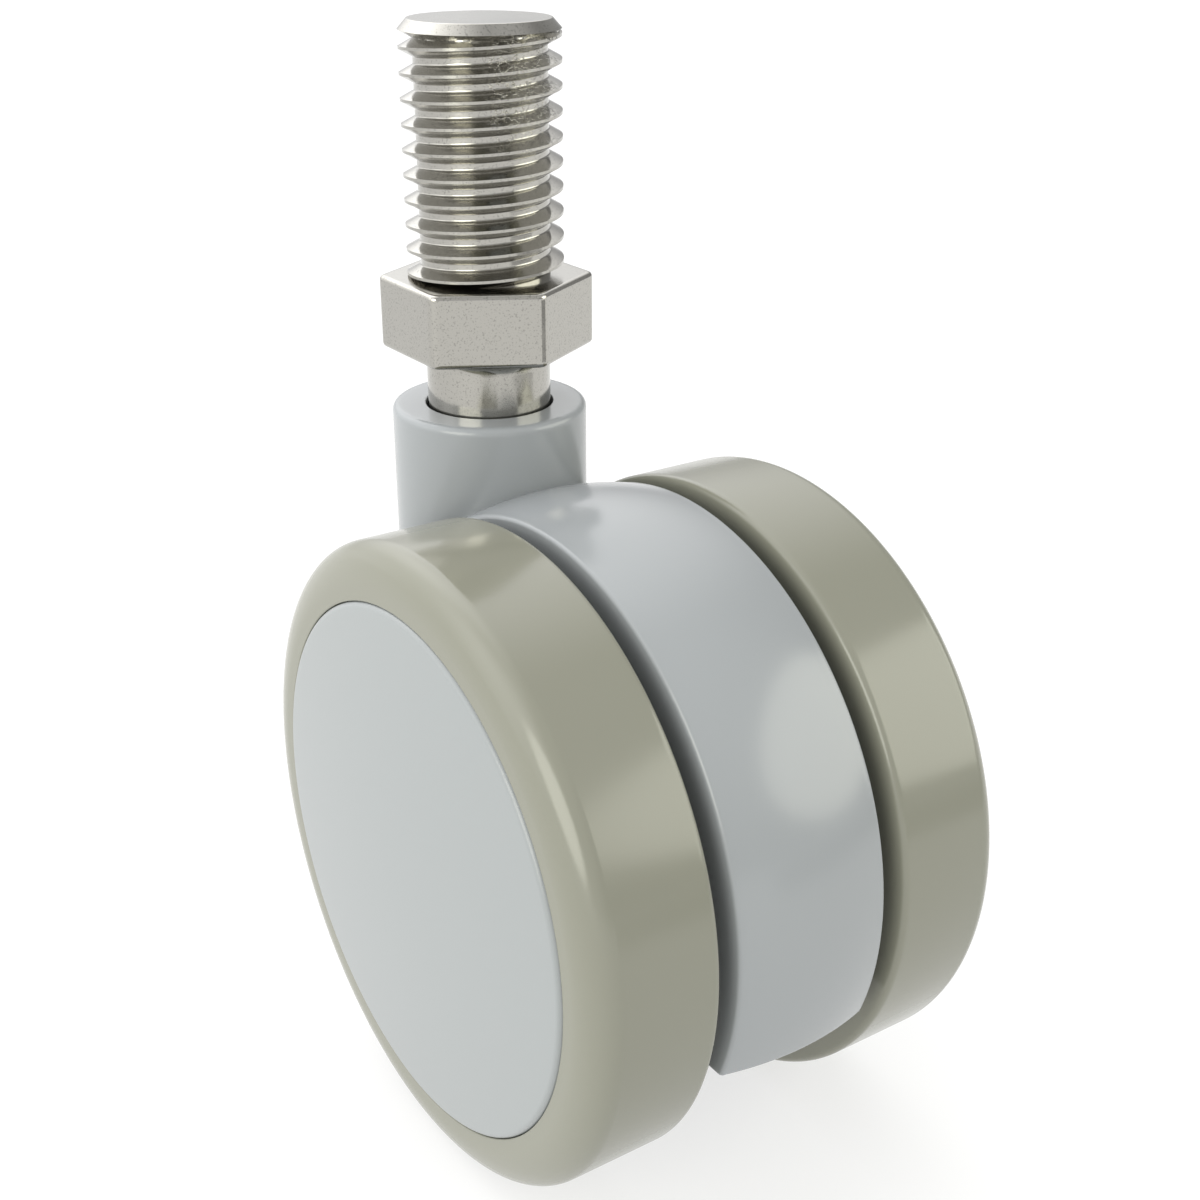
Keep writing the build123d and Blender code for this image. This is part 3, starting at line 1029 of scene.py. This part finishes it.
def make_floor():
    """A wide pale disc under the wheels."""
    turn = np.linspace(0, 2 * math.pi, FLOOR_CORNERS, endpoint=False)
    level = np.full(FLOOR_CORNERS, tyre_low.z)
    points = np.stack([FLOOR_RADIUS * np.cos(turn), FLOOR_RADIUS * np.sin(turn), level], axis=-1)
    floor = mesh_object("studio_floor", points, [list(range(FLOOR_CORNERS))])
    material = bpy.data.materials.new("pale_floor")
    material.use_nodes = True
    shader = material.node_tree.nodes["Principled BSDF"]
    shader.inputs["Base Color"].default_value = (FLOOR_COLOUR, FLOOR_COLOUR, FLOOR_COLOUR, 1)
    shader.inputs["Emission Color"].default_value = (1, 1, 1, 1)
    shader.inputs["Emission Strength"].default_value = FLOOR_GLOW
    shader.inputs["Roughness"].default_value = 0.9
    shader.inputs["Specular IOR Level"].default_value = 0.1
    give(material, floor)


make_floor()

# %% [markdown]
# A dome of even light would leave the gloss with nothing to reflect. So wide soft lobes are added to a weak
# even level, the strongest high behind the stem. Large lamps could do the same, but they would show in the
# glossy hood with their edges, and a lobe has none.

# %% Dome
LOBE_WIDTH = 50
EVEN_LEVEL = 0.4
LOBES = {
    "behind_low": (180, 12, 0.46),
    "near_back_low": (225, 12, 0.77),
    "near_side_low": (270, 12, 0.8),
    "camera_low": (315, 12, 0.41),
    "front_high": (22, 50, 0.4),
    "behind_high": (166, 50, 1.95),
    "near_back_high": (238, 50, 1.12),
}


def direction(azimuth, elevation):
    """Unit vector towards this azimuth and elevation in degrees."""
    a, e = math.radians(azimuth), math.radians(elevation)
    return Vector((math.cos(a) * math.cos(e), math.sin(a) * math.cos(e), math.sin(e)))


def make_dome():
    """A world that is an even level plus the sum of the lobes.

    Each lobe follows the cosine between the direction looked in and its own direction: its full level there,
    and smoothly down to nothing at the lobe's width.
    """
    world = bpy.data.worlds.new("studio_dome")
    world.use_nodes = True
    tree = world.node_tree
    background = tree.nodes["Background"]
    background.inputs["Color"].default_value = (1, 1, 1, 1)
    place = tree.nodes.new("ShaderNodeTexCoord")
    total = None
    for name, (azimuth, elevation, level) in LOBES.items():
        cosine = tree.nodes.new("ShaderNodeVectorMath")
        cosine.operation = "DOT_PRODUCT"
        cosine.inputs[1].default_value = direction(azimuth, elevation)
        tree.links.new(place.outputs["Generated"], cosine.inputs[0])
        lobe = tree.nodes.new("ShaderNodeMapRange")
        lobe.name = name
        lobe.interpolation_type = "SMOOTHSTEP"
        lobe.inputs["From Min"].default_value = math.cos(math.radians(LOBE_WIDTH))
        lobe.inputs["From Max"].default_value = 1.0
        lobe.inputs["To Max"].default_value = level
        tree.links.new(cosine.outputs["Value"], lobe.inputs["Value"])
        added = tree.nodes.new("ShaderNodeMath")
        if total is None:
            added.inputs[0].default_value = EVEN_LEVEL
        else:
            tree.links.new(total, added.inputs[0])
        tree.links.new(lobe.outputs["Result"], added.inputs[1])
        total = added.outputs["Value"]
    tree.links.new(total, background.inputs["Strength"])
    bpy.context.scene.world = world


make_dome()
print("dome of", len(LOBES), "lobes")

# %% [markdown]
# One oval panel in front and to the right makes the oval on the hood and the bands on the treads. A second
# one on the near side lights the cap and makes the long highlight on the near tread's shoulder. A low dark
# strip stands under the first panel. The gloss shows it as the darker line below the oval, as a gap between
# a real studio's lamp and its floor would.

# %% The dark strip
FLAG_DISTANCE = 0.15
FLAG_HEIGHT = 0.022
FLAG_TURNS = (16, 62)
FLAG_COLUMNS = 25
FLAG_SHADE = 0.25


def make_flag():
    """A low strip on the floor, bent round the castor: x = axle x + distance * cos a, y = distance * sin a.

    The camera does not see it and it casts no shadow, so only reflections show it.
    """
    turn = np.radians(np.linspace(*FLAG_TURNS, FLAG_COLUMNS))
    level = np.full(FLAG_COLUMNS, tyre_low.z)
    foot = np.stack([axle_x + FLAG_DISTANCE * np.cos(turn), FLAG_DISTANCE * np.sin(turn), level], axis=-1)
    rows = np.stack([foot, foot + [0, 0, FLAG_HEIGHT]])
    vertices, faces = ring_grid(rows, False, closed_rings=False)
    flag = mesh_object("dark_flag", vertices, faces.tolist())
    flag.visible_camera = False
    flag.visible_shadow = False
    material = bpy.data.materials.new("dark_cloth")
    material.use_nodes = True
    shader = material.node_tree.nodes["Principled BSDF"]
    shader.inputs["Base Color"].default_value = (FLAG_SHADE, FLAG_SHADE, FLAG_SHADE, 1)
    shader.inputs["Roughness"].default_value = 1.0
    give(material, flag)


make_flag()

# %% The oval panels
PANEL_COLOUR = (1.0, 1.0, 0.88)
PANEL_DISTANCE = 0.5
PANELS = {
    "front_right_panel": {"azimuth": 52, "elevation": 21.5, "width": 0.5, "height": 0.35, "power": 1.38},
    "near_side_panel": {"azimuth": -70, "elevation": 17, "width": 0.38, "height": 0.3, "power": 1.16},
}


def soft_panel(name, azimuth, elevation, width, height, power):
    """An oval area light that stands in this direction from the wheels and faces them."""
    centre = Vector((axle_x, 0, axle_z))
    towards = direction(azimuth, elevation)
    lamp = bpy.data.lights.new(name, "AREA")
    lamp.shape = "ELLIPSE"
    lamp.color = PANEL_COLOUR
    lamp.size = width
    lamp.size_y = height
    lamp.energy = power
    panel = bpy.data.objects.new(name, lamp)
    panel.location = centre + towards * PANEL_DISTANCE
    panel.rotation_euler = towards.to_track_quat("Z", "Y").to_euler()
    bpy.context.scene.collection.objects.link(panel)


for name, values in PANELS.items():
    soft_panel(name, **values)
bpy.context.scene.view_settings.view_transform = "Standard"
print("panels:", ", ".join(PANELS))


# %% [markdown]
# The camera stands where the photograph was taken from. It could be set by eye, but its place, turn and lens
# come from fitting the outlines of the thread, the hexagon, the boss and the wheels, so that every piece
# falls where the photograph has it.

# %% Camera
CAMERA_PLACE = (0.091614, -0.053286, 0.024668)
CAMERA_YAW = 56.091
CAMERA_PITCH = 24.096
CAMERA_ROLL = -0.043
CAMERA_LENS = 50.652
CAMERA_SENSOR = 36
CAMERA_SHIFT = 0.003758
CAMERA_NEAREST = 0.005
CAMERA_FARTHEST = 20


def make_camera():
    """Camera from a yaw, a downward pitch and a roll, with the lens's millimetres on a sensor of 36."""
    yaw = math.radians(CAMERA_YAW)
    pitch = math.radians(CAMERA_PITCH)
    roll = math.radians(CAMERA_ROLL)
    level = math.cos(pitch)
    forward = Vector((-math.sin(yaw) * level, math.cos(yaw) * level, -math.sin(pitch)))
    right = Vector((math.cos(yaw), math.sin(yaw), 0))
    up = right.cross(forward)
    rolled_right = right * math.cos(roll) + up * math.sin(roll)
    rolled_up = up * math.cos(roll) - right * math.sin(roll)
    data = bpy.data.cameras.new("photo_camera")
    data.lens = CAMERA_LENS
    data.sensor_width = CAMERA_SENSOR
    data.shift_x = CAMERA_SHIFT
    data.clip_start = CAMERA_NEAREST
    data.clip_end = CAMERA_FARTHEST
    camera = bpy.data.objects.new("photo_camera", data)
    turned = Matrix((rolled_right, rolled_up, -forward)).transposed()
    camera.rotation_euler = turned.to_euler()
    camera.location = CAMERA_PLACE
    bpy.context.scene.collection.objects.link(camera)
    bpy.context.scene.camera = camera
    return camera


camera = make_camera()
print("camera at", [round(value, 4) for value in camera.location])
